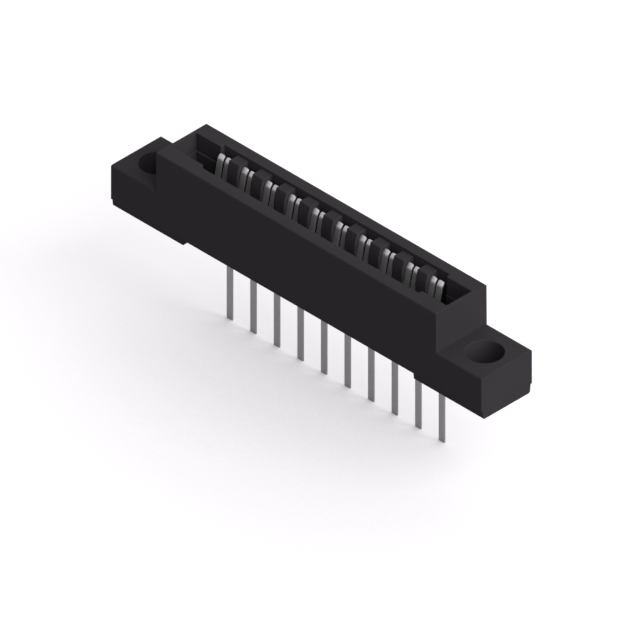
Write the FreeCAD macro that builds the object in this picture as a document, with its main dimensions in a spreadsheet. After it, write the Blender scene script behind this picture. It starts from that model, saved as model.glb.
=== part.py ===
"""Card edge connector with one row of bifurcated spring contacts, as a parametric FreeCAD document.

The insulator is one moulding. It stands on two feet, and the plane under the feet is Z = 0, the face
of the board. X runs along the row of contacts, and the card enters from +Z. Every contact is a bent
strip in a bay of the insulator, on the +Y side of the card, with its tail below the board face.
"""
import FreeCAD, Part
import math
import os
import re

import Sketcher

# Driving dimensions in millimetres, by the group that they belong to.
SIZES = (
    # Row of contacts.
    ("positions", 10),
    ("pitch", 3.96),
    # Outside of the insulator.
    ("overall_length", 62.3),
    ("body_length", 47.05),
    ("body_width", 8.56),
    ("body_height", 11.76),
    ("flange_height", 6.12),
    ("body_edge", 0.2),
    ("flange_edge", 0.25),
    # Feet under the flanges.
    ("foot_height", 1.2),
    ("foot_gap", 38.9),
    ("foot_inset", 0.22),
    ("foot_draft", 0.1),
    ("foot_edge", 0.2),
    # Screw holes in the flanges.
    ("hole_spacing", 54.9),
    ("hole_diameter", 4.76),
    # Recess in the top, its wider part on the -Y side, and the deeper wells at its two ends.
    ("trough_length", 46.2),
    ("trough_width", 4.14),
    ("trough_depth", 2.6),
    ("near_reach", 2.6),
    ("well_ledge", 0.15),
    ("well_depth", 5.0),
    # Slot that guides the card, and its lead-in.
    ("card_slot_length", 42.0),
    ("card_slot_width", 1.8),
    ("card_stop_depth", 8.4),
    ("card_lead_in", 0.8),
    # Bays of the contacts, and the ribs between them.
    ("bay_width", 2.2),
    ("bay_reach", 2.68),
    ("bay_depth", 9.2),
    ("rib_reach", 0.75),
    ("rib_crest_depth", 0.45),
    ("rib_shoulder", 0.45),
    ("rib_lead_depth", 1.4),
    ("rib_draft", 0.13),
    # Strip that the contacts are cut from, and its widths.
    ("strip_thickness", 0.25),
    ("bay_clearance", 0.05),
    ("neck_width", 1.4),
    ("tail_width", 0.95),
    ("tail_length", 12.94),
    ("tail_line", 2.45),
    # Bends of the contact, as depths under the top and reaches from the middle of the card.
    ("heel_depth", 8.3),
    ("heel_radius", 1.5),
    ("bow_depth", 5.0),
    ("bow_reach", 0.62),
    ("bow_radius", 2.5),
    ("lip_depth", 1.35),
    ("lip_reach", 1.5),
    ("lip_radius", 0.8),
    ("tip_depth", 0.82),
    ("tip_reach", 1.92),
    # Slit that parts the two prongs, and the rounding of their ends.
    ("prong_gap", 0.3),
    ("prong_depth", 6.5),
    ("prong_corner", 0.25),
)

ALIASES = frozenset(name for name, _ in SIZES)
CONTACT_STRIP_WIDTH = "(bay_width - 2 * bay_clearance)"
ROW_START = "-(positions - 1) * pitch / 2"
BAY_LENGTH = "((positions - 1) * pitch + bay_width)"

# Length in millimetres under which two places count as one.
TOLERANCE = 1e-6


def add_sheet(doc):
    """Write the driving dimensions into the sheet, one alias to a row."""
    sheet = doc.addObject("Spreadsheet::Sheet", "Sizes")
    for row, (name, size) in enumerate(SIZES, start=1):
        sheet.set(f"A{row}", name)
        sheet.set(f"B{row}", str(size))
        sheet.setAlias(f"B{row}", name)
    doc.recompute()
    return sheet


def sized(formula):
    """Turn a formula in plain size names into an expression on the sheet."""
    return re.sub(r"[a-z_]+", lambda word: f"Sizes.{word[0]}" if word[0] in ALIASES else word[0], formula)


def origin_item(body, role):
    """Give the body's own origin plane or axis with this role."""
    return next(item for item in body.Origin.OriginFeatures if item.Role == role)


def add_sketch(body, name, plane, offset="0"):
    """Attach a sketch to an origin plane of its body, moved along the plane's normal."""
    sketch = body.newObject("Sketcher::SketchObject", name)
    sketch.AttachmentSupport = [(origin_item(body, plane), "")]
    sketch.MapMode = "FlatFace"
    sketch.setExpression("AttachmentOffset.Base.z", sized(offset))
    return sketch


def dimension(sketch, kind, geometry, point, formula):
    """Place one point of a sketch at a distance from the sketch's origin."""
    if formula == "0":
        axis = -2 if kind == "DistanceX" else -1
        sketch.addConstraint(Sketcher.Constraint("PointOnObject", geometry, point, axis))
        return
    index = sketch.addConstraint(Sketcher.Constraint(kind, -1, 1, geometry, point, 1.0))
    sketch.setExpression(f"Constraints[{index}]", sized(formula))


def add_chain(sketch, corners, closed):
    """Join corners, each a pair of size formulas, with lines. Give the number of the first line."""
    count = len(corners)
    first = sketch.GeometryCount
    turn = [2 * math.pi * index / count for index in range(count)]
    start = [FreeCAD.Vector(math.cos(angle), math.sin(angle), 0) for angle in turn]
    lines = count if closed else count - 1
    for index in range(lines):
        line = Part.LineSegment(start[index], start[(index + 1) % count])
        sketch.addGeometry(line, False)
    for index in range(lines if closed else lines - 1):
        after = first + (index + 1) % lines
        sketch.addConstraint(Sketcher.Constraint("Coincident", first + index, 2, after, 1))
    for index, (across, up) in enumerate(corners):
        geometry, point = (first + index, 1) if index < lines else (first + lines - 1, 2)
        dimension(sketch, "DistanceX", geometry, point, across)
        dimension(sketch, "DistanceY", geometry, point, up)
    return first


def add_rectangle(sketch, left, right, low, high):
    """Add a rectangle given by the formulas of its four sides."""
    add_chain(sketch, ((left, low), (right, low), (right, high), (left, high)), closed=True)


def round_corners(sketch, first, radii):
    """Round the corners of an open chain in order, each to its own radius."""
    sketch.Document.recompute()
    for index, radius in enumerate(radii):
        line = first + index
        arc = sketch.GeometryCount
        # The rounding starts small, then takes the size that the sheet gives.
        sketch.fillet(line, 2, 0.1, True, True)
        constraint = sketch.addConstraint(Sketcher.Constraint("Radius", arc, 0.1))
        sketch.setExpression(f"Constraints[{constraint}]", sized(radius))
    sketch.Document.recompute()


def add_pad(body, name, sketch, length, symmetric=False):
    """Pad a sketch by a length, to one side or evenly to both."""
    pad = body.newObject("PartDesign::Pad", name)
    pad.Profile = sketch
    pad.SideType = "Symmetric" if symmetric else "One side"
    pad.setExpression("Length", sized(length))
    sketch.Visibility = False
    body.Document.recompute()
    return pad


def add_pocket(body, name, sketch, depth, symmetric=False):
    """Cut a sketch into the body by a depth, to one side or evenly to both."""
    before = body.Shape.Volume
    pocket = body.newObject("PartDesign::Pocket", name)
    pocket.Profile = sketch
    pocket.SideType = "Symmetric" if symmetric else "One side"
    pocket.setExpression("Length", sized(depth))
    sketch.Visibility = False
    body.Document.recompute()
    if body.Shape.Volume >= before:
        raise RuntimeError(f"{name} cuts nothing")
    return pocket


def add_mirror(body, name, features):
    """Repeat features on the other side of the middle, along X."""
    mirror = body.newObject("PartDesign::Mirrored", name)
    mirror.Originals = features
    mirror.MirrorPlane = (origin_item(body, "YZ_Plane"), [""])
    body.Tip = mirror
    body.Document.recompute()
    return mirror


def add_row(body, name, feature, copies, length):
    """Repeat a feature along X, so that the copies fill a length."""
    row = body.newObject("PartDesign::LinearPattern", name)
    row.Originals = [feature]
    row.Direction = (origin_item(body, "X_Axis"), [""])
    row.setExpression("Occurrences", sized(copies))
    row.setExpression("Length", sized(length))
    body.Tip = row
    body.Document.recompute()
    return row


def add_block(body):
    """Pad the raised body and the two flanges from one side view."""
    sketch = add_sketch(body, "side_view", "XZ_Plane")
    add_chain(sketch, (
        ("-overall_length / 2", "foot_height"),
        ("overall_length / 2", "foot_height"),
        ("overall_length / 2", "flange_height"),
        ("body_length / 2", "flange_height"),
        ("body_length / 2", "body_height"),
        ("-body_length / 2", "body_height"),
        ("-body_length / 2", "flange_height"),
        ("-overall_length / 2", "flange_height"),
    ), closed=True)
    add_pad(body, "block", sketch, "body_width", symmetric=True)


def round_long_edges(body, name, height, radius):
    """Round the two outer edges that run along X at this height, by a size of the sheet."""
    solid = body.Tip
    level = getattr(body.Document.Sizes, height)
    edges = []
    for number, edge in enumerate(solid.Shape.Edges, start=1):
        box = edge.BoundBox
        along = box.YLength < TOLERANCE and box.ZLength < TOLERANCE
        outer = abs(box.YMin) > solid.Shape.BoundBox.YMax - TOLERANCE
        if along and outer and abs(box.ZMin - level) < TOLERANCE:
            edges.append(f"Edge{number}")
    rounding = body.newObject("PartDesign::Fillet", name)
    rounding.Base = (solid, edges)
    rounding.setExpression("Radius", sized(radius))
    body.Document.recompute()


def add_feet(body):
    """Pad the foot under one flange, narrower than the flange and drafted, and mirror it."""
    sketch = add_sketch(body, "foot_section", "YZ_Plane", "foot_gap / 2")
    root = "(body_width / 2 - foot_inset)"
    toe = f"({root} - foot_draft)"
    flat = f"({toe} - foot_edge)"
    add_chain(sketch, (
        (f"-{flat}", "0"),
        (flat, "0"),
        (toe, "foot_edge"),
        (root, "foot_height"),
        (f"-{root}", "foot_height"),
        (f"-{toe}", "foot_edge"),
    ), closed=True)
    foot = add_pad(body, "foot", sketch, "(overall_length - foot_gap) / 2")
    add_mirror(body, "feet", [foot])


def add_holes(body):
    """Cut the screw hole through one flange and its foot, and mirror it."""
    sketch = add_sketch(body, "hole_circle", "XY_Plane", "flange_height")
    circle = Part.Circle(FreeCAD.Vector(1, 0, 0), FreeCAD.Vector(0, 0, 1), 1)
    geometry = sketch.addGeometry(circle, False)
    dimension(sketch, "DistanceX", geometry, 3, "hole_spacing / 2")
    dimension(sketch, "DistanceY", geometry, 3, "0")
    diameter = sketch.addConstraint(Sketcher.Constraint("Diameter", geometry, 1.0))
    sketch.setExpression(f"Constraints[{diameter}]", sized("hole_diameter"))
    hole = add_pocket(body, "screw_hole", sketch, "flange_height")
    add_mirror(body, "screw_holes", [hole])


def add_recesses(body):
    """Cut the recess in the top, its wider part, the well at each end and the slot for the card."""
    sketch = add_sketch(body, "trough_plan", "XY_Plane", "body_height")
    add_rectangle(
        sketch, "-trough_length / 2", "trough_length / 2", "-trough_width / 2", "trough_width / 2"
    )
    add_pocket(body, "trough", sketch, "trough_depth")

    sketch = add_sketch(body, "near_recess_plan", "XY_Plane", "body_height")
    add_rectangle(sketch, ROW_START, f"{BAY_LENGTH} / 2", "-near_reach", "0")
    add_pocket(body, "near_recess", sketch, "trough_depth")

    sketch = add_sketch(body, "well_plan", "XY_Plane", "body_height")
    side = "(trough_width / 2 - well_ledge)"
    add_rectangle(sketch, f"{BAY_LENGTH} / 2", "trough_length / 2 - well_ledge", f"-{side}", side)
    well = add_pocket(body, "well", sketch, "well_depth")
    add_mirror(body, "wells", [well])

    sketch = add_sketch(body, "card_slot_plan", "XY_Plane", "body_height")
    add_rectangle(
        sketch, "-card_slot_length / 2", "card_slot_length / 2", "-card_slot_width / 2", "card_slot_width / 2"
    )
    add_pocket(body, "card_slot", sketch, "card_stop_depth")


def add_bays(body):
    """Cut one chamber for all contacts, with the card's lead-in, and part it with a row of ribs."""
    sketch = add_sketch(body, "chamber_section", "YZ_Plane")
    trough_floor = "body_height - trough_depth"
    lip = "(card_slot_width / 2 + card_lead_in)"
    add_chain(sketch, (
        (f"-{lip}", "body_height"),
        (f"-{lip}", trough_floor),
        ("-card_slot_width / 2", f"{trough_floor} - card_lead_in"),
        ("-card_slot_width / 2", "body_height - card_stop_depth"),
        ("rib_reach", "body_height - card_stop_depth"),
        ("rib_reach", "body_height - bay_depth"),
        ("bay_reach", "body_height - bay_depth"),
        ("bay_reach", "body_height"),
    ), closed=True)
    add_pocket(body, "chamber", sketch, BAY_LENGTH, symmetric=True)

    sketch = add_sketch(body, "rib_section", "YZ_Plane", f"{ROW_START} + bay_width / 2")
    add_chain(sketch, (
        ("rib_reach", "body_height - bay_depth"),
        ("bay_reach", "body_height - bay_depth"),
        ("bay_reach", "body_height - rib_crest_depth"),
        ("rib_reach + rib_shoulder", "body_height - rib_crest_depth"),
        ("rib_reach + rib_draft", "body_height - rib_lead_depth"),
        ("rib_reach", trough_floor),
    ), closed=True)
    rib = add_pad(body, "rib", sketch, "pitch - bay_width")
    add_row(body, "ribs", rib, "positions - 1", "(positions - 2) * pitch")


def add_neck_slots(body):
    """Cut the slot that holds the neck of a contact through the floor, and repeat it."""
    sketch = add_sketch(body, "neck_slot_plan", "XY_Plane", "body_height - bay_depth")
    add_rectangle(
        sketch,
        f"{ROW_START} - neck_width / 2",
        f"{ROW_START} + neck_width / 2",
        "tail_line - strip_thickness / 2",
        "tail_line + strip_thickness / 2",
    )
    slot = add_pocket(body, "neck_slot", sketch, "body_height - bay_depth")
    add_row(body, "neck_slots", slot, "positions", "(positions - 1) * pitch")


def add_insulator(doc):
    """Build the moulded insulator."""
    body = doc.addObject("PartDesign::Body", "insulator")
    body.Label = "insulator"
    add_block(body)
    round_long_edges(body, "body_edges", "body_height", "body_edge")
    round_long_edges(body, "flange_edges", "flange_height", "flange_edge")
    add_feet(body)
    add_holes(body)
    add_recesses(body)
    add_bays(body)
    add_neck_slots(body)
    return body


def add_strip(body):
    """Sweep the section of the strip along the bends of the contact."""
    path = add_sketch(body, "bends", "YZ_Plane")
    first = add_chain(path, (
        ("tail_line", "-tail_length"),
        ("tail_line", "body_height - heel_depth"),
        ("bow_reach", "body_height - bow_depth"),
        ("lip_reach", "body_height - lip_depth"),
        ("tip_reach", "body_height - tip_depth"),
    ), closed=False)
    round_corners(path, first, ("heel_radius", "bow_radius", "lip_radius"))
    section = add_sketch(body, "strip_section", "XY_Plane", "-tail_length")
    add_rectangle(
        section,
        f"-{CONTACT_STRIP_WIDTH} / 2",
        f"{CONTACT_STRIP_WIDTH} / 2",
        "tail_line - strip_thickness / 2",
        "tail_line + strip_thickness / 2",
    )
    strip = body.newObject("PartDesign::AdditivePipe", "strip")
    strip.Profile = section
    strip.Spine = (path, [])
    path.Visibility = False
    section.Visibility = False
    body.Document.recompute()


def trim_tail(body):
    """Narrow the strip to the neck in the floor and the tail below it."""
    sketch = add_sketch(body, "tail_blank", "XZ_Plane")
    for side in ("", "-"):
        add_chain(sketch, (
            (f"{side}tail_width / 2", "-2 * tail_length"),
            (f"{side}bay_width", "-2 * tail_length"),
            (f"{side}bay_width", "body_height - bay_depth"),
            (f"{side}neck_width / 2", "body_height - bay_depth"),
            (f"{side}neck_width / 2", "foot_height"),
            (f"{side}tail_width / 2", "foot_height"),
        ), closed=True)
    add_pocket(body, "tail_trim", sketch, "4 * body_width", symmetric=True)


def split_prongs(body):
    """Slit the spring into two prongs."""
    sketch = add_sketch(body, "slit", "XZ_Plane")
    add_rectangle(
        sketch, "-prong_gap / 2", "prong_gap / 2", "body_height - prong_depth", "2 * body_height"
    )
    add_pocket(body, "prong_slit", sketch, "4 * body_width", symmetric=True)


def round_tips(body, corner):
    """Round the corners of the two prongs at their free end."""
    solid = body.Tip
    top = solid.Shape.BoundBox.ZMax
    edges = []
    for number, edge in enumerate(solid.Shape.Edges, start=1):
        across = edge.BoundBox.XLength < TOLERANCE
        short = edge.BoundBox.ZLength < edge.BoundBox.YLength
        if across and short and edge.BoundBox.ZMax > top - edge.Length:
            edges.append(f"Edge{number}")
    tips = body.newObject("PartDesign::Fillet", "prong_tips")
    tips.Base = (solid, edges)
    tips.setExpression("Radius", sized(corner))
    body.Document.recompute()


def add_contact(doc, number):
    """Build the contact with this number, counted from 1 at the -X end of the row."""
    body = doc.addObject("PartDesign::Body", f"contact_{number:02d}")
    body.Label = f"contact_{number:02d}"
    add_strip(body)
    trim_tail(body)
    split_prongs(body)
    round_tips(body, "prong_corner")
    body.setExpression("Placement.Base.x", sized(f"{ROW_START} + {number - 1} * pitch"))
    return body


def check_document(doc, parts):
    """Stop if a feature failed or a sub-part is not one valid solid."""
    failed = [item.Label for item in doc.Objects if {"Invalid", "Error"} & set(item.State)]
    if failed:
        raise RuntimeError(f"failed: {', '.join(failed)}")
    for part in parts:
        if part.Shape.isNull() or not part.Shape.isValid() or len(part.Shape.Solids) != 1:
            raise RuntimeError(f"{part.Label} is not one valid solid")


def main():
    """Build the connector and write one STEP file for each sub-part."""
    os.makedirs("parts", exist_ok=True)
    doc = FreeCAD.newDocument("card_edge_connector")
    sheet = add_sheet(doc)
    parts = [add_insulator(doc)]
    for number in range(1, int(sheet.positions) + 1):
        parts.append(add_contact(doc, number))
    doc.recompute()
    check_document(doc, parts)
    for part in parts:
        part.Shape.exportStep(f"parts/{part.Label}.step")


main()
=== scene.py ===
"""Looks of a card edge connector: a black moulded insulator and ten tin-plated spring contacts.

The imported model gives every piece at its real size. The insulator is a copy of its CAD mesh with
small radii on its edges and the finish of moulded polyester. Each contact is made again as one
smooth strip with rounded edges, in the place of its CAD node. Lengths below are in millimetres and
turn to metres where a mesh is made.
"""

import logging
import math
from dataclasses import dataclass
from enum import Enum
from typing import ClassVar

import bmesh
import bpy
import numpy as np
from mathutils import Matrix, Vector


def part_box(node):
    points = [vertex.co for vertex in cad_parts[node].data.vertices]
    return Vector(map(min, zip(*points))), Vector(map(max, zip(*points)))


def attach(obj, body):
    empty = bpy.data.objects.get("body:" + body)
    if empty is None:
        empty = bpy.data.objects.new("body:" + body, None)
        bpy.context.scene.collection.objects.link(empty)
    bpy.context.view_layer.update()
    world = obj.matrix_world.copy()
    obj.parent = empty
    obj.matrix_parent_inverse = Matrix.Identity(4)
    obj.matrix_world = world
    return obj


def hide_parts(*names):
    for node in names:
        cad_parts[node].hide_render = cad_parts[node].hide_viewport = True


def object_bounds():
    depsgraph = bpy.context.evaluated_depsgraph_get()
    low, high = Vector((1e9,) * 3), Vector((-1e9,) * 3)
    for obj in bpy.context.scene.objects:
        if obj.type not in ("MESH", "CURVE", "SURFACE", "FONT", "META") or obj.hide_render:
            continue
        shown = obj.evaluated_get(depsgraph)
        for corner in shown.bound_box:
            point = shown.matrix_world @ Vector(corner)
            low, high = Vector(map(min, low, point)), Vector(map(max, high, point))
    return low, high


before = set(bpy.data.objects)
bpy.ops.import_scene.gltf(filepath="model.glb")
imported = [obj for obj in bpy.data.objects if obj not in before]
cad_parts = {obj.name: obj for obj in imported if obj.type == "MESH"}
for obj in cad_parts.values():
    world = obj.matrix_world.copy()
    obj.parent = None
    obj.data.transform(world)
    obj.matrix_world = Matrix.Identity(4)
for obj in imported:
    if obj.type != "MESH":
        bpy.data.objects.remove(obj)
cad_box = [list(corner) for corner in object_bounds()]

MM = 0.001
BODY = "root"
LOG = logging.getLogger("card_edge_connector")


class Slot(Enum):
    """Material slots of the record. The pieces here take no finish from them."""

    MOULDING = "moulding"
    CONTACT_METAL = "contact_metal"


def linear(hex_code: str) -> tuple[float, float, float, float]:
    """Turn an sRGB hex colour into linear light with full alpha.

    Args:
        hex_code: Six hex digits after a hash sign.

    Returns:
        Red, green, blue and alpha, each from 0 to 1.
    """
    parts = [int(hex_code[start:start + 2], 16) / 255 for start in (1, 3, 5)]
    light = [part / 12.92 if part <= 0.04045 else ((part + 0.055) / 1.055) ** 2.4 for part in parts]
    return (light[0], light[1], light[2], 1.0)


def add_node(tree: bpy.types.NodeTree, kind: str, settings: dict | None = None,
             **inputs: object) -> bpy.types.Node:
    """Add one node to a tree, with its settings and links.

    Args:
        tree: Tree of the material or the world.
        kind: Blender's name of the node's type.
        settings: Properties of the node itself, such as its operation.
        inputs: Values or output sockets by input name, with underscores for spaces. A name that
            ends in a number, such as Input_0, picks an input by its place.

    Returns:
        The new node.
    """
    node = tree.nodes.new(kind)
    for name, setting in (settings or {}).items():
        setattr(node, name, setting)
    for name, source in inputs.items():
        words = name.split("_")
        place = int(words[1]) if words[0] == "Input" else " ".join(words)
        if isinstance(source, bpy.types.NodeSocket):
            tree.links.new(source, node.inputs[place])
        else:
            node.inputs[place].default_value = source
    return node


def new_material(name: str) -> tuple[bpy.types.Material, bpy.types.NodeTree]:
    """Make an empty node material.

    Args:
        name: Name of the material.

    Returns:
        The material and its tree, with no node in it.
    """
    material = bpy.data.materials.new(name)
    material.use_nodes = True
    material.node_tree.nodes.clear()
    return material, material.node_tree


def shown_rays(tree: bpy.types.NodeTree) -> bpy.types.NodeSocket:
    """Mark the rays that show the surroundings: to the camera, in a reflection or through a clear body.

    Args:
        tree: Tree of the material or the world.

    Returns:
        A socket that is 1 for those rays and 0 for light on the part.
    """
    path = add_node(tree, "ShaderNodeLightPath").outputs
    mirrored = add_node(tree, "ShaderNodeMath", {"operation": "MAXIMUM"},
                        Input_0=path["Is Camera Ray"], Input_1=path["Is Glossy Ray"])
    shown = add_node(tree, "ShaderNodeMath", {"operation": "MAXIMUM"},
                     Input_0=mirrored.outputs[0], Input_1=path["Is Transmission Ray"])
    return shown.outputs[0]


@dataclass(frozen=True)
class MouldedPolyester:
    """Black glass-filled polyester, moulded against a fine spark-eroded steel.

    It is nearly matt and nearly black, with a trace of violet, and its grain breaks up the light.
    """

    name: str = "moulded_polyester_black"
    colour: str = "#353235"
    colour_deep: str = "#302d30"
    ior: float = 1.57
    specular: float = 0.03
    roughness: float = 0.6
    # The steel's grain is about 0.03 mm, too fine to show, so it is drawn at 0.12 mm.
    grain_mm: float = 0.12
    grain_depth_mm: float = 0.004
    grain_strength: float = 0.35
    # Resin flow leaves broad, faint changes of sheen and tone.
    flow_mm: float = 9.0
    sheen_change: float = 0.05

    def build(self) -> bpy.types.Material:
        """Build the material.

        Returns:
            The finished material.
        """
        material, tree = new_material(self.name)
        place = add_node(tree, "ShaderNodeTexCoord").outputs["Object"]
        flow = add_node(tree, "ShaderNodeTexNoise", Vector=place, Scale=1 / (self.flow_mm * MM),
                        Detail=3.0, Roughness=0.6)
        grain = add_node(tree, "ShaderNodeTexNoise", Vector=place, Scale=1 / (self.grain_mm * MM),
                         Detail=2.0, Roughness=0.5)
        tone = add_node(tree, "ShaderNodeMix", {"data_type": "RGBA"}, Factor=flow.outputs["Fac"],
                        Input_6=linear(self.colour_deep), Input_7=linear(self.colour))
        sheen = add_node(tree, "ShaderNodeMapRange", Value=flow.outputs["Fac"],
                         To_Min=self.roughness - self.sheen_change,
                         To_Max=self.roughness + self.sheen_change)
        bump = add_node(tree, "ShaderNodeBump", Height=grain.outputs["Fac"], Strength=self.grain_strength,
                        Distance=self.grain_depth_mm * MM)
        shader = add_node(tree, "ShaderNodeBsdfPrincipled", Base_Color=tone.outputs[2],
                          Roughness=sheen.outputs["Result"], IOR=self.ior, Specular_IOR_Level=self.specular,
                          Normal=bump.outputs["Normal"])
        add_node(tree, "ShaderNodeOutputMaterial", Surface=shader.outputs["BSDF"])
        return material


@dataclass(frozen=True)
class TinPlatedStrip:
    """Copper alloy strip, rolled, blanked and plated with matt tin.

    It is a soft grey metal, with faint lines of the rolling along the strip.
    """

    name: str = "tin_plated_strip"
    colour: str = "#b7b5b7"
    colour_dull: str = "#aaa8aa"
    # The tail is the same tin as the spring; its darker colour is painted shade.
    painted_tail_shade: str = "#8a878a"
    # Length of the tail from its foot, and the length over which the tail's painted shade gives way to the
    # spring's colour.
    tail_end_mm: float = 15.5
    change_mm: float = 0.6
    roughness: float = 0.5
    sheen_change: float = 0.07
    # Rolling lines are about 0.02 mm apart, too fine to show, so they are drawn at 0.08 mm.
    line_mm: float = 0.08
    line_length_mm: float = 6.0
    line_depth_mm: float = 0.002
    line_strength: float = 0.25
    # The plating is a little brighter here and there.
    cloud_mm: float = 1.6

    def build(self) -> bpy.types.Material:
        """Build the material. Its patterns follow the strip's own UV map, laid out in metres.

        Returns:
            The finished material.
        """
        material, tree = new_material(self.name)
        strip = add_node(tree, "ShaderNodeUVMap", {"uv_map": SpringContact.UV_NAME}).outputs["UV"]
        drawn = add_node(tree, "ShaderNodeMapping", Vector=strip,
                         Scale=(1 / (self.line_mm * MM), 1 / (self.line_length_mm * MM), 1.0))
        lines = add_node(tree, "ShaderNodeTexNoise", Vector=drawn.outputs["Vector"], Scale=1.0,
                         Detail=2.0, Roughness=0.5)
        cloud = add_node(tree, "ShaderNodeTexNoise", Vector=strip, Scale=1 / (self.cloud_mm * MM),
                         Detail=3.0, Roughness=0.6)
        tone = add_node(tree, "ShaderNodeMix", {"data_type": "RGBA"}, Factor=cloud.outputs["Fac"],
                        Input_6=linear(self.colour_dull), Input_7=linear(self.colour))
        along = add_node(tree, "ShaderNodeSeparateXYZ", Vector=strip).outputs["Y"]
        spring = add_node(tree, "ShaderNodeMapRange", Value=along, From_Min=self.tail_end_mm * MM,
                          From_Max=(self.tail_end_mm + self.change_mm) * MM)
        # Painted shade: the tail takes the darker colour, and the spring takes its own tone.
        colour = add_node(tree, "ShaderNodeMix", {"data_type": "RGBA"}, Factor=spring.outputs["Result"],
                          Input_6=linear(self.painted_tail_shade), Input_7=tone.outputs[2])
        sheen = add_node(tree, "ShaderNodeMapRange", Value=lines.outputs["Fac"],
                         To_Min=self.roughness - self.sheen_change,
                         To_Max=self.roughness + self.sheen_change)
        bump = add_node(tree, "ShaderNodeBump", Height=lines.outputs["Fac"], Strength=self.line_strength,
                        Distance=self.line_depth_mm * MM)
        shader = add_node(tree, "ShaderNodeBsdfPrincipled", Base_Color=colour.outputs[2], Metallic=1.0,
                          Roughness=sheen.outputs["Result"], Normal=bump.outputs["Normal"])
        add_node(tree, "ShaderNodeOutputMaterial", Surface=shader.outputs["BSDF"])
        return material


@dataclass(frozen=True)
class PaleGround:
    """Plain white card under the part. It keeps the part's soft shadow from the lamps, and a soft shadow
    under the part is also painted into its glow.
    """

    name: str = "ground_card"
    colour: str = "#b7b5b7"
    glow_colour: str = "#fffcff"
    # Light that the card throws back on the part is held low, as over a dark table.
    bounce_colour: str = "#4a4a4b"
    # Strength of the glow in the darkest painted shadow, where the part hides all that the card looks out
    # on, and where the part hides nothing.
    glow_in_painted_shadow: float = 0.09
    glow_in_open: float = 0.616
    # The painted shadow is measured looking out along this tilt, towards the back, so it falls more in front
    # of the part; the sky itself is even. Only the part within this distance darkens the card.
    painted_shadow_tilt: tuple[float, float, float] = (0.0, 0.8, 0.6)
    painted_shadow_reach_mm: float = 36.0
    painted_shadow_samples: int = 4

    def build(self) -> bpy.types.Material:
        """Build the material. To the camera and in reflections it glows as well, up to white.

        The glow is dimmed by the share of the card's view that the part hides close by, which paints the
        soft dark shadow under it.

        Returns:
            The finished material.
        """
        material, tree = new_material(self.name)
        seen = shown_rays(tree)
        way = add_node(tree, "ShaderNodeCombineXYZ", X=self.painted_shadow_tilt[0], Y=self.painted_shadow_tilt[1], Z=self.painted_shadow_tilt[2])
        # Painted shadow: ambient occlusion from the part dims the glow.
        painted_shadow_ao = add_node(tree, "ShaderNodeAmbientOcclusion", {"samples": self.painted_shadow_samples},
                            Distance=self.painted_shadow_reach_mm * MM, Normal=way.outputs[0])
        level = add_node(tree, "ShaderNodeMapRange", Value=painted_shadow_ao.outputs["AO"], To_Min=self.glow_in_painted_shadow,
                         To_Max=self.glow_in_open)
        strength = add_node(tree, "ShaderNodeMath", {"operation": "MULTIPLY"}, Input_0=seen,
                            Input_1=level.outputs["Result"])
        glow = add_node(tree, "ShaderNodeEmission", Color=linear(self.glow_colour),
                        Strength=strength.outputs[0])
        tone = add_node(tree, "ShaderNodeMix", {"data_type": "RGBA"}, Factor=seen,
                        Input_6=linear(self.bounce_colour), Input_7=linear(self.colour))
        card = add_node(tree, "ShaderNodeBsdfDiffuse", Color=tone.outputs[2])
        both = add_node(tree, "ShaderNodeAddShader", Input_0=card.outputs[0], Input_1=glow.outputs[0])
        add_node(tree, "ShaderNodeOutputMaterial", Surface=both.outputs[0])
        return material


@dataclass(frozen=True)
class Insulator:
    """The moulding: the shape of its CAD node, with the small radii that a mould leaves on its edges."""

    node: str = "insulator"
    finish: MouldedPolyester = MouldedPolyester()
    edge_radius: float = 0.07
    edge_segments: int = 2
    # Faces that meet at more than this angle, in degrees, meet in an edge and not in a curve.
    edge_angle: float = 28.0
    flat_angle: float = 0.5
    weld_distance: float = 0.0005

    def moulded_mesh(self) -> bpy.types.Mesh:
        """Copy the CAD node's mesh, join its faces that lie in one plane and round its outward edges.

        Shading runs on within a rounding and within a curved wall, and stops where the two meet.

        Returns:
            The new mesh.
        """
        mesh = bpy.data.meshes.new(f"{self.node}_moulding")
        work = bmesh.new()
        work.from_mesh(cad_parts[self.node].data)
        bmesh.ops.remove_doubles(work, verts=work.verts, dist=self.weld_distance * MM)
        bmesh.ops.dissolve_limit(work, angle_limit=math.radians(self.flat_angle), verts=work.verts,
                                 edges=work.edges)
        turned = math.radians(self.edge_angle)
        outward = [edge for edge in work.edges if edge.calc_face_angle_signed() > turned]
        made = bmesh.ops.bevel(work, geom=outward, offset=self.edge_radius * MM, offset_type="OFFSET",
                               segments=self.edge_segments, profile=0.5, affect="EDGES", clamp_overlap=False)
        rounded = set(made["faces"])
        for edge in work.edges:
            in_rounding = len(rounded.intersection(edge.link_faces))
            in_wall = in_rounding == 0 and edge.calc_face_angle() < turned
            edge.smooth = in_rounding == 2 or in_wall
        # Rounded edges that run out against a wall leave points on one spot, which are merged.
        bmesh.ops.remove_doubles(work, verts=work.verts, dist=self.weld_distance * MM)
        work.to_mesh(mesh)
        work.free()
        mesh.polygons.foreach_set("use_smooth", np.ones(len(mesh.polygons), bool))
        return mesh

    def build(self) -> bpy.types.Object:
        """Make the moulding in the place of its CAD node, with its finish.

        Returns:
            The new piece.
        """
        mesh = self.moulded_mesh()
        mesh.materials.clear()
        mesh.materials.append(self.finish.build())
        piece = bpy.data.objects.new(f"{self.node}_moulding", mesh)
        bpy.context.scene.collection.objects.link(piece)
        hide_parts(self.node)
        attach(piece, BODY)
        return piece


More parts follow.
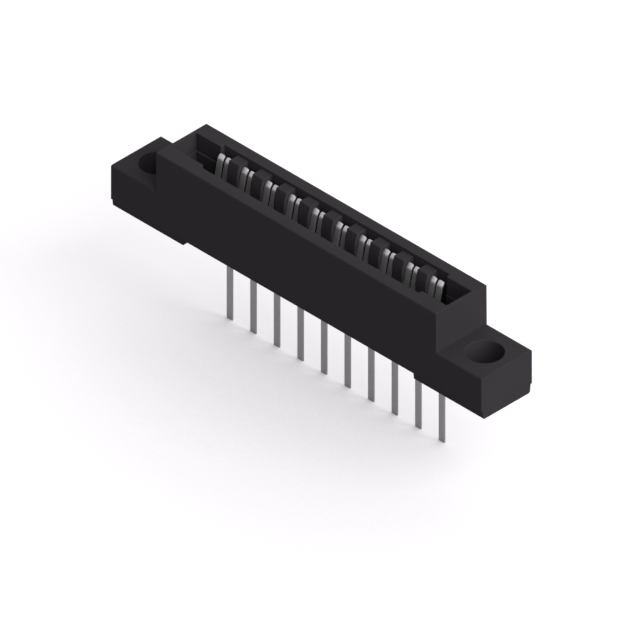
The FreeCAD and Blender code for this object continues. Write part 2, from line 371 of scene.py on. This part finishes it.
@dataclass(frozen=True)
class SpringContact:
    """One spring contact: a strip with three bends, split into two prongs at its free end.

    The strip's middle line lies in a plane across the row. It starts at the foot of the tail, and
    its corners are given as reach from the middle of the card and height over the board face.
    """

    UV_NAME: ClassVar[str] = "strip"

    thickness: float = 0.25
    corners: tuple[tuple[float, float], ...] = (
        (2.45, -12.94), (2.45, 3.46), (0.62, 6.76), (1.5, 10.41), (1.92, 10.94),
    )
    bend_radii: tuple[float, ...] = (1.5, 2.5, 0.8)
    tail_width: float = 0.95
    neck_width: float = 1.4
    spring_width: float = 2.1
    neck_height: float = 1.2
    floor_height: float = 2.56
    slit_width: float = 0.3
    slit_height: float = 5.26
    tip_corner: float = 0.25
    # Blanking and plating leave the edges of the strip rounded.
    edge_radius: float = 0.05
    # The blank goes from one width to the next, and from whole to slit, within this length.
    width_step: float = 0.004
    # Steps of the mesh.
    bend_steps: int = 14
    edge_steps: int = 3
    run_step: float = 0.8
    # Places along the strip that agree to this many digits of a millimetre are one place.
    place_digits: int = 6
    weld_distance: float = 0.0005
    # Faces that meet at more than this angle, in degrees, keep a crisp edge.
    sharp_angle: float = 40.0

    def middle_line(self) -> tuple[np.ndarray, np.ndarray]:
        """Work out the middle line as straight runs joined by tangent arcs.

        At a corner with turn a and radius r, the arc starts r tan(a / 2) before the corner. Its
        points are the start turned about the arc's centre by equal parts of a.

        Returns:
            Points (n, 2) and unit directions (n, 2), both as reach and height.
        """
        corners = np.array(self.corners)
        runs = np.diff(corners, axis=0)
        ways = runs / np.linalg.norm(runs, axis=1, keepdims=True)
        points, directions = [corners[:1]], [ways[:1]]
        for corner, before, after, radius in zip(corners[1:-1], ways[:-1], ways[1:], self.bend_radii):
            cross = before[0] * after[1] - before[1] * after[0]
            turn = math.atan2(cross, float(before @ after))
            inset = radius * math.tan(abs(turn) / 2)
            side = math.copysign(1.0, turn)
            centre = corner - inset * before + side * radius * np.array([-before[1], before[0]])
            angle = np.linspace(0.0, turn, self.bend_steps + 1)
            start = corner - inset * before - centre
            cos, sin = np.cos(angle), np.sin(angle)
            arc = np.stack([cos * start[0] - sin * start[1], sin * start[0] + cos * start[1]], axis=1)
            way = np.stack([cos * before[0] - sin * before[1], sin * before[0] + cos * before[1]], axis=1)
            points.append(centre + arc)
            directions.append(way)
        points.append(corners[-1:])
        directions.append(ways[-1:])
        return np.concatenate(points), np.concatenate(directions)

    def stations(self) -> tuple[np.ndarray, np.ndarray, np.ndarray, float]:
        """Lay the sections of the strip along the middle line.

        Stations follow each other closely where the outline of the blank changes, and evenly
        elsewhere. Points and directions between the line's own points are taken in proportion.

        Returns:
            Lengths along the line (n,), points (n, 2), directions (n, 2) and the line's full length.
        """
        line, ways = self.middle_line()
        along = np.concatenate([[0.0], np.cumsum(np.linalg.norm(np.diff(line, axis=0), axis=1))])
        full = float(along[-1])
        neck, floor, slit = (self.length_at_height(h, line, along)
                             for h in (self.neck_height, self.floor_height, self.slit_height))
        arc = np.linspace(0.0, math.pi / 2, self.bend_steps)
        slit_end = slit + self.slit_width / 2 * (1 - np.cos(arc))
        tip = full - self.tip_corner * (1 - np.sin(arc))
        even = np.arange(0.0, full, self.run_step)
        just_before = np.array([neck, floor, slit]) - self.width_step
        end_round = self.edge_radius * (1 - np.cos(np.linspace(0, math.pi / 2, self.edge_steps + 1)))
        every = np.concatenate(
            [along, slit_end, tip, even, just_before, [neck, floor], end_round, full - end_round])
        places = np.unique(np.round(every, self.place_digits))
        points = np.stack([np.interp(places, along, line[:, axis]) for axis in (0, 1)], axis=1)
        way = np.stack([np.interp(places, along, ways[:, axis]) for axis in (0, 1)], axis=1)
        way /= np.linalg.norm(way, axis=1, keepdims=True)
        return places, points, way, full

    @staticmethod
    def length_at_height(height: float, line: np.ndarray, along: np.ndarray) -> float:
        """Give the length along the line at which it reaches a height, which it does only once."""
        return float(np.interp(height, line[:, 1], along))

    def half_outline(self, places: np.ndarray, points: np.ndarray,
                     full: float) -> tuple[np.ndarray, np.ndarray]:
        """Give the inner and outer edge of one half of the blank at each station.

        The outer edge steps from tail to neck to spring. The inner edge is the middle of the strip
        up to the slit, then the slit's round end, w = sqrt(r^2 - (r - s)^2), and its side. At the
        tip both edges draw in along quarter circles.

        Args:
            places: Lengths along the middle line (n,).
            points: Points of the middle line (n, 2).
            full: Length of the whole middle line.

        Returns:
            Inner and outer distances from the middle of the strip (n,).
        """
        height = points[:, 1]
        outer = np.where(height < self.neck_height, self.tail_width,
                         np.where(height < self.floor_height, self.neck_width, self.spring_width)) / 2
        radius = self.slit_width / 2
        slit = places[np.searchsorted(height, self.slit_height)]
        depth = np.clip(places - slit, 0.0, radius)
        inner = np.sqrt(np.maximum(radius**2 - (radius - depth) ** 2, 0.0))
        to_tip = np.clip(self.tip_corner - (full - places), 0.0, self.tip_corner)
        drawn_in = self.tip_corner - np.sqrt(np.maximum(self.tip_corner**2 - to_tip**2, 0.0))
        return inner + drawn_in, outer - drawn_in

    def half_mesh(self) -> tuple[np.ndarray, list[list[int]], np.ndarray]:
        """Build one half of the contact as rounded sections carried along the middle line.

        A section is a rectangle from the inner to the outer edge and through the thickness, with
        its corners rounded by r: (w, d) = corner centre + r (cos a, sin a). At the foot and the tip
        the thickness draws in the same way, and one flat face closes each end. Inner faces in the
        middle of the strip are left out, so that the two halves join there.

        Returns:
            Vertices (m, 3) in millimetres, faces as lists of vertex numbers, and strip coordinates
            (m, 2).
        """
        places, points, way, full = self.stations()
        inner, outer = self.half_outline(places, points, full)
        end = np.minimum(places, full - places)
        shrink = self.edge_radius - np.sqrt(np.maximum(
            self.edge_radius**2 - np.clip(self.edge_radius - end, 0, self.edge_radius) ** 2, 0))
        half_depth = self.thickness / 2 - shrink
        inner_open = inner > 0.0
        outer_radius = np.minimum(self.edge_radius, half_depth)
        inner_radius = np.where(inner_open, outer_radius, 0.0)
        quarter = np.linspace(0.0, math.pi / 2, self.edge_steps + 1)
        rings_w, rings_d = [], []
        # Each corner: its first angle in half turns, its edge, the way to its centre across the
        # strip, its radius, and the side of the strip that it lies on.
        for start, edge, sign, radius, side in (
            (0.0, outer, -1.0, outer_radius, 1.0), (0.5, inner, 1.0, inner_radius, 1.0),
            (1.0, inner, 1.0, inner_radius, -1.0), (1.5, outer, -1.0, outer_radius, -1.0),
        ):
            angle = start * math.pi + quarter
            centre_w = (edge + sign * radius)[:, None]
            centre_d = (side * (half_depth - radius))[:, None]
            rings_w.append(centre_w + radius[:, None] * np.cos(angle)[None, :])
            rings_d.append(centre_d + radius[:, None] * np.sin(angle)[None, :])
        across = np.concatenate(rings_w, axis=1)
        through = np.concatenate(rings_d, axis=1)
        normal = np.stack([way[:, 1], -way[:, 0]], axis=1)
        place = points[:, None, :] + through[:, :, None] * normal[:, None, :]
        vertices = np.stack([across, place[..., 0], place[..., 1]], axis=2)
        strip = np.stack([across, np.broadcast_to(places[:, None], across.shape)], axis=2)
        stations, ring = across.shape
        index = np.arange(stations * ring).reshape(stations, ring)
        here, beside = index[:-1], np.roll(index, -1, axis=1)[:-1]
        above, above_beside = index[1:], np.roll(index, -1, axis=1)[1:]
        faces = np.stack([here, beside, above_beside, above], axis=2)
        steps = self.edge_steps + 1
        seam = np.zeros(ring, bool)
        seam[steps:3 * steps - 1] = True
        closed = (~inner_open[:-1])[:, None] & (~inner_open[1:])[:, None] & seam[None, :]
        kept = faces[~closed].tolist() + [index[0, ::-1].tolist(), index[-1].tolist()]
        return vertices.reshape(-1, 3), kept, strip.reshape(-1, 2)

    def weld(self, mesh: bpy.types.Mesh) -> None:
        """Merge the points that the two halves share and turn every face outwards.

        Args:
            mesh: Mesh of both halves, in metres.
        """
        work = bmesh.new()
        work.from_mesh(mesh)
        bmesh.ops.remove_doubles(work, verts=work.verts, dist=self.weld_distance * MM)
        bmesh.ops.recalc_face_normals(work, faces=work.faces)
        work.to_mesh(mesh)
        work.free()

    def build(self, node: str, place: float, material: bpy.types.Material) -> bpy.types.Object:
        """Make the contact's mesh in the place of its CAD node.

        Args:
            node: Name of the CAD node.
            place: Middle of the contact along the row, in metres.
            material: Finish of the strip.

        Returns:
            The new piece.
        """
        half, faces, strip = self.half_mesh()
        count = len(half)
        mirrored = half * np.array([-1.0, 1.0, 1.0])
        vertices = np.concatenate([half, mirrored]) * MM + np.array([place, 0.0, 0.0])
        other_faces = [[number + count for number in reversed(face)] for face in faces]
        strips = np.concatenate([strip, strip * np.array([-1.0, 1.0])]) * MM
        mesh = bpy.data.meshes.new(f"{node}_strip")
        mesh.from_pydata(vertices.tolist(), [], faces + other_faces)
        layer = mesh.uv_layers.new(name=self.UV_NAME)
        loops = np.zeros(len(mesh.loops), np.int32)
        mesh.loops.foreach_get("vertex_index", loops)
        layer.data.foreach_set("uv", strips[loops].ravel().astype(np.float32))
        self.weld(mesh)
        mesh.polygons.foreach_set("use_smooth", np.ones(len(mesh.polygons), bool))
        mesh.set_sharp_from_angle(angle=math.radians(self.sharp_angle))
        mesh.materials.append(material)
        mesh.update()
        piece = bpy.data.objects.new(f"{node}_strip", mesh)
        bpy.context.scene.collection.objects.link(piece)
        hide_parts(node)
        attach(piece, BODY)
        return piece


@dataclass(frozen=True)
class ContactRow:
    """All the contacts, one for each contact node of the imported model."""

    contact: SpringContact = SpringContact()
    finish: TinPlatedStrip = TinPlatedStrip()
    prefix: str = "contact_"

    def build(self) -> list[bpy.types.Object]:
        """Build every contact at the middle of its node's box.

        Returns:
            The new pieces, in order along the row.
        """
        material = self.finish.build()
        pieces = []
        for node in sorted(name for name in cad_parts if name.startswith(self.prefix)):
            low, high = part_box(node)
            pieces.append(self.contact.build(node, (low.x + high.x) / 2, material))
        return pieces


@dataclass(frozen=True)
class Lamp:
    """A wide soft lamp, far away."""

    name: str
    # Way from the part to the lamp.
    way: tuple[float, float, float]
    strength: float
    # Width of the lamp as the part sees it, in degrees.
    spread: float

    def hang(self) -> bpy.types.Object:
        """Hang the lamp.

        Returns:
            The lamp's object.
        """
        light = bpy.data.lights.new(self.name, "SUN")
        light.energy = self.strength
        light.angle = math.radians(self.spread)
        lamp = bpy.data.objects.new(self.name, light)
        lamp.rotation_euler = Vector(self.way).to_track_quat("Z", "Y").to_euler()
        bpy.context.scene.collection.objects.link(lamp)
        return lamp


@dataclass(frozen=True)
class Studio:
    """Ground, light and camera. The view is isometric, without perspective, as in the photograph."""

    ground_size: float = 2000.0
    ground: PaleGround = PaleGround()
    # The picture's frame in millimetres, and the point of the part in the middle of it.
    view_width: float = 76.07
    view_target: tuple[float, float, float] = (-0.121, -0.121, -3.0)
    view_distance: float = 400.0
    lamps: tuple[Lamp, ...] = (
        Lamp("key", way=(0.81, -0.06, 0.58), strength=4.3, spread=60.0),
        Lamp("fill", way=(-0.10, -0.70, 0.70), strength=0.5, spread=80.0),
        Lamp("back", way=(-0.45, 0.70, 0.55), strength=0.3, spread=80.0),
    )
    sky_strength: float = 0.06
    sky_colour: str = "#ffffff"

    def lay_ground(self) -> bpy.types.Object:
        """Lay the ground where the tails end.

        Returns:
            The ground's object.
        """
        low = cad_box[0][2]
        half = self.ground_size / 2 * MM
        mesh = bpy.data.meshes.new("ground")
        mesh.from_pydata([(-half, -half, low), (half, -half, low), (half, half, low), (-half, half, low)],
                         [], [(0, 1, 2, 3)])
        mesh.materials.append(self.ground.build())
        ground = bpy.data.objects.new("ground", mesh)
        bpy.context.scene.collection.objects.link(ground)
        return ground

    def paint_sky(self) -> bpy.types.World:
        """Light the part evenly from all round, and show white behind it.

        Returns:
            The world.
        """
        world = bpy.data.worlds.new("sky")
        world.use_nodes = True
        tree = world.node_tree
        tree.nodes.clear()
        strength = add_node(tree, "ShaderNodeMapRange", Value=shown_rays(tree), To_Min=self.sky_strength,
                            To_Max=1.0)
        sky = add_node(tree, "ShaderNodeBackground", Color=linear(self.sky_colour),
                       Strength=strength.outputs["Result"])
        add_node(tree, "ShaderNodeOutputWorld", Surface=sky.outputs[0])
        bpy.context.scene.world = world
        return world

    def set_camera(self) -> bpy.types.Object:
        """Set the camera above the near corner, on the line on which X, Y and Z look alike.

        Returns:
            The camera's object.
        """
        lens = bpy.data.cameras.new("camera")
        lens.type = "ORTHO"
        lens.ortho_scale = self.view_width * MM
        camera = bpy.data.objects.new("camera", lens)
        way = Vector((1.0, -1.0, 1.0)).normalized()
        camera.location = Vector(self.view_target) * MM + way * self.view_distance * MM
        camera.rotation_euler = way.to_track_quat("Z", "Y").to_euler()
        bpy.context.scene.collection.objects.link(camera)
        bpy.context.scene.camera = camera
        return camera

    def build(self) -> None:
        """Set up the whole studio."""
        bpy.context.scene.view_settings.view_transform = "Standard"
        self.set_camera()
        self.lay_ground()
        for lamp in self.lamps:
            lamp.hang()
        self.paint_sky()


def main() -> None:
    """Dress the connector and set it in the studio."""
    logging.basicConfig(level=logging.INFO, format="%(name)s: %(message)s")
    Studio().build()
    piece = Insulator().build()
    LOG.info("%s made, %d faces", piece.name, len(piece.data.polygons))
    for contact in ContactRow().build():
        LOG.info("%s made, %d faces", contact.name, len(contact.data.polygons))


if __name__ == "__main__":
    main()
